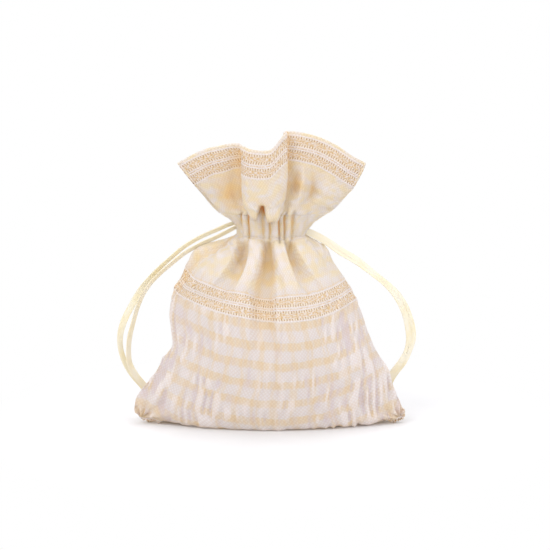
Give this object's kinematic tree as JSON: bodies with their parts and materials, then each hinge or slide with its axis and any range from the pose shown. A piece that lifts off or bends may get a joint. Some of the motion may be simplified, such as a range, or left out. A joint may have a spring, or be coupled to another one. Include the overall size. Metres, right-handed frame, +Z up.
{
  "type": "drawstring gift pouch",
  "caption": "Cloth gift pouch cinched at a gathered channel, with a flared frill above and two flat ribbons that pull out at the sides and end in knots.",
  "frame": {"origin": "on the surface the pouch stands on, under the middle of its bottom seam", "axes": "+X to the right seen from the front, +Y towards the back, +Z up through the neck"},
  "size_m": [0.1317, 0.054, 0.1319],
  "materials": {
    "gingham": "light cotton, cream and white check with metallic yarn bands",
    "hem": "the same cloth turned in",
    "overlock": "overlocked cloth edge",
    "thread": "polyester sewing thread",
    "satin": "double faced satin ribbon"
  },
  "bodies": {
    "pouch": {"front_panel": "gingham", "back_panel": "gingham", "front_casing": "gingham", "back_casing": "gingham", "front_channel_lining": "hem", "back_channel_lining": "hem", "left_overlocked_seam": "overlock", "right_overlocked_seam": "overlock", "bottom_overlocked_seam": "overlock", "front_lower_stitching": "thread", "front_upper_stitching": "thread", "back_lower_stitching": "thread", "back_upper_stitching": "thread"},
    "front_leaf": {"front_frill": "gingham", "front_frill_lining": "hem"},
    "back_leaf": {"back_frill": "gingham", "back_frill_lining": "hem"},
    "left_drawstring": {"left_ribbon_channel_run": "satin"},
    "left_loop": {"left_ribbon_front_strand": "satin", "left_ribbon_back_strand": "satin", "left_ribbon_knot": "satin"},
    "right_drawstring": {"right_ribbon_channel_run": "satin"},
    "right_loop": {"right_ribbon_front_strand": "satin", "right_ribbon_back_strand": "satin", "right_ribbon_knot": "satin"}
  },
  "joints": [
    {"name": "front_frill_fold", "type": "hinge", "parent": "pouch", "child": "front_leaf", "pos_m": [0, -0.0101, 0.0952], "axis": [1, 0, 0], "range_deg": [0, 25]},
    {"name": "back_frill_fold", "type": "hinge", "parent": "pouch", "child": "back_leaf", "pos_m": [0, 0.0101, 0.0952], "axis": [-1, 0, 0], "range_deg": [0, 25]},
    {"name": "left_ribbon_pull", "type": "slide", "parent": "pouch", "child": "left_drawstring", "axis": [-1, 0, 0], "range_m": [0, 0.01], "deforming": ["left_ribbon_channel_run"]},
    {"name": "left_ribbon_lift", "type": "hinge", "parent": "left_drawstring", "child": "left_loop", "pos_m": [-0.0176, 0, 0.0912], "axis": [0, 1, 0], "range_deg": [0, 35]},
    {"name": "right_ribbon_pull", "type": "slide", "parent": "pouch", "child": "right_drawstring", "axis": [1, 0, 0], "range_m": [0, 0.01], "deforming": ["right_ribbon_channel_run"]},
    {"name": "right_ribbon_lift", "type": "hinge", "parent": "right_drawstring", "child": "right_loop", "pos_m": [0.0176, 0, 0.0873], "axis": [0, -1, 0], "range_deg": [0, 35]}
  ]
}
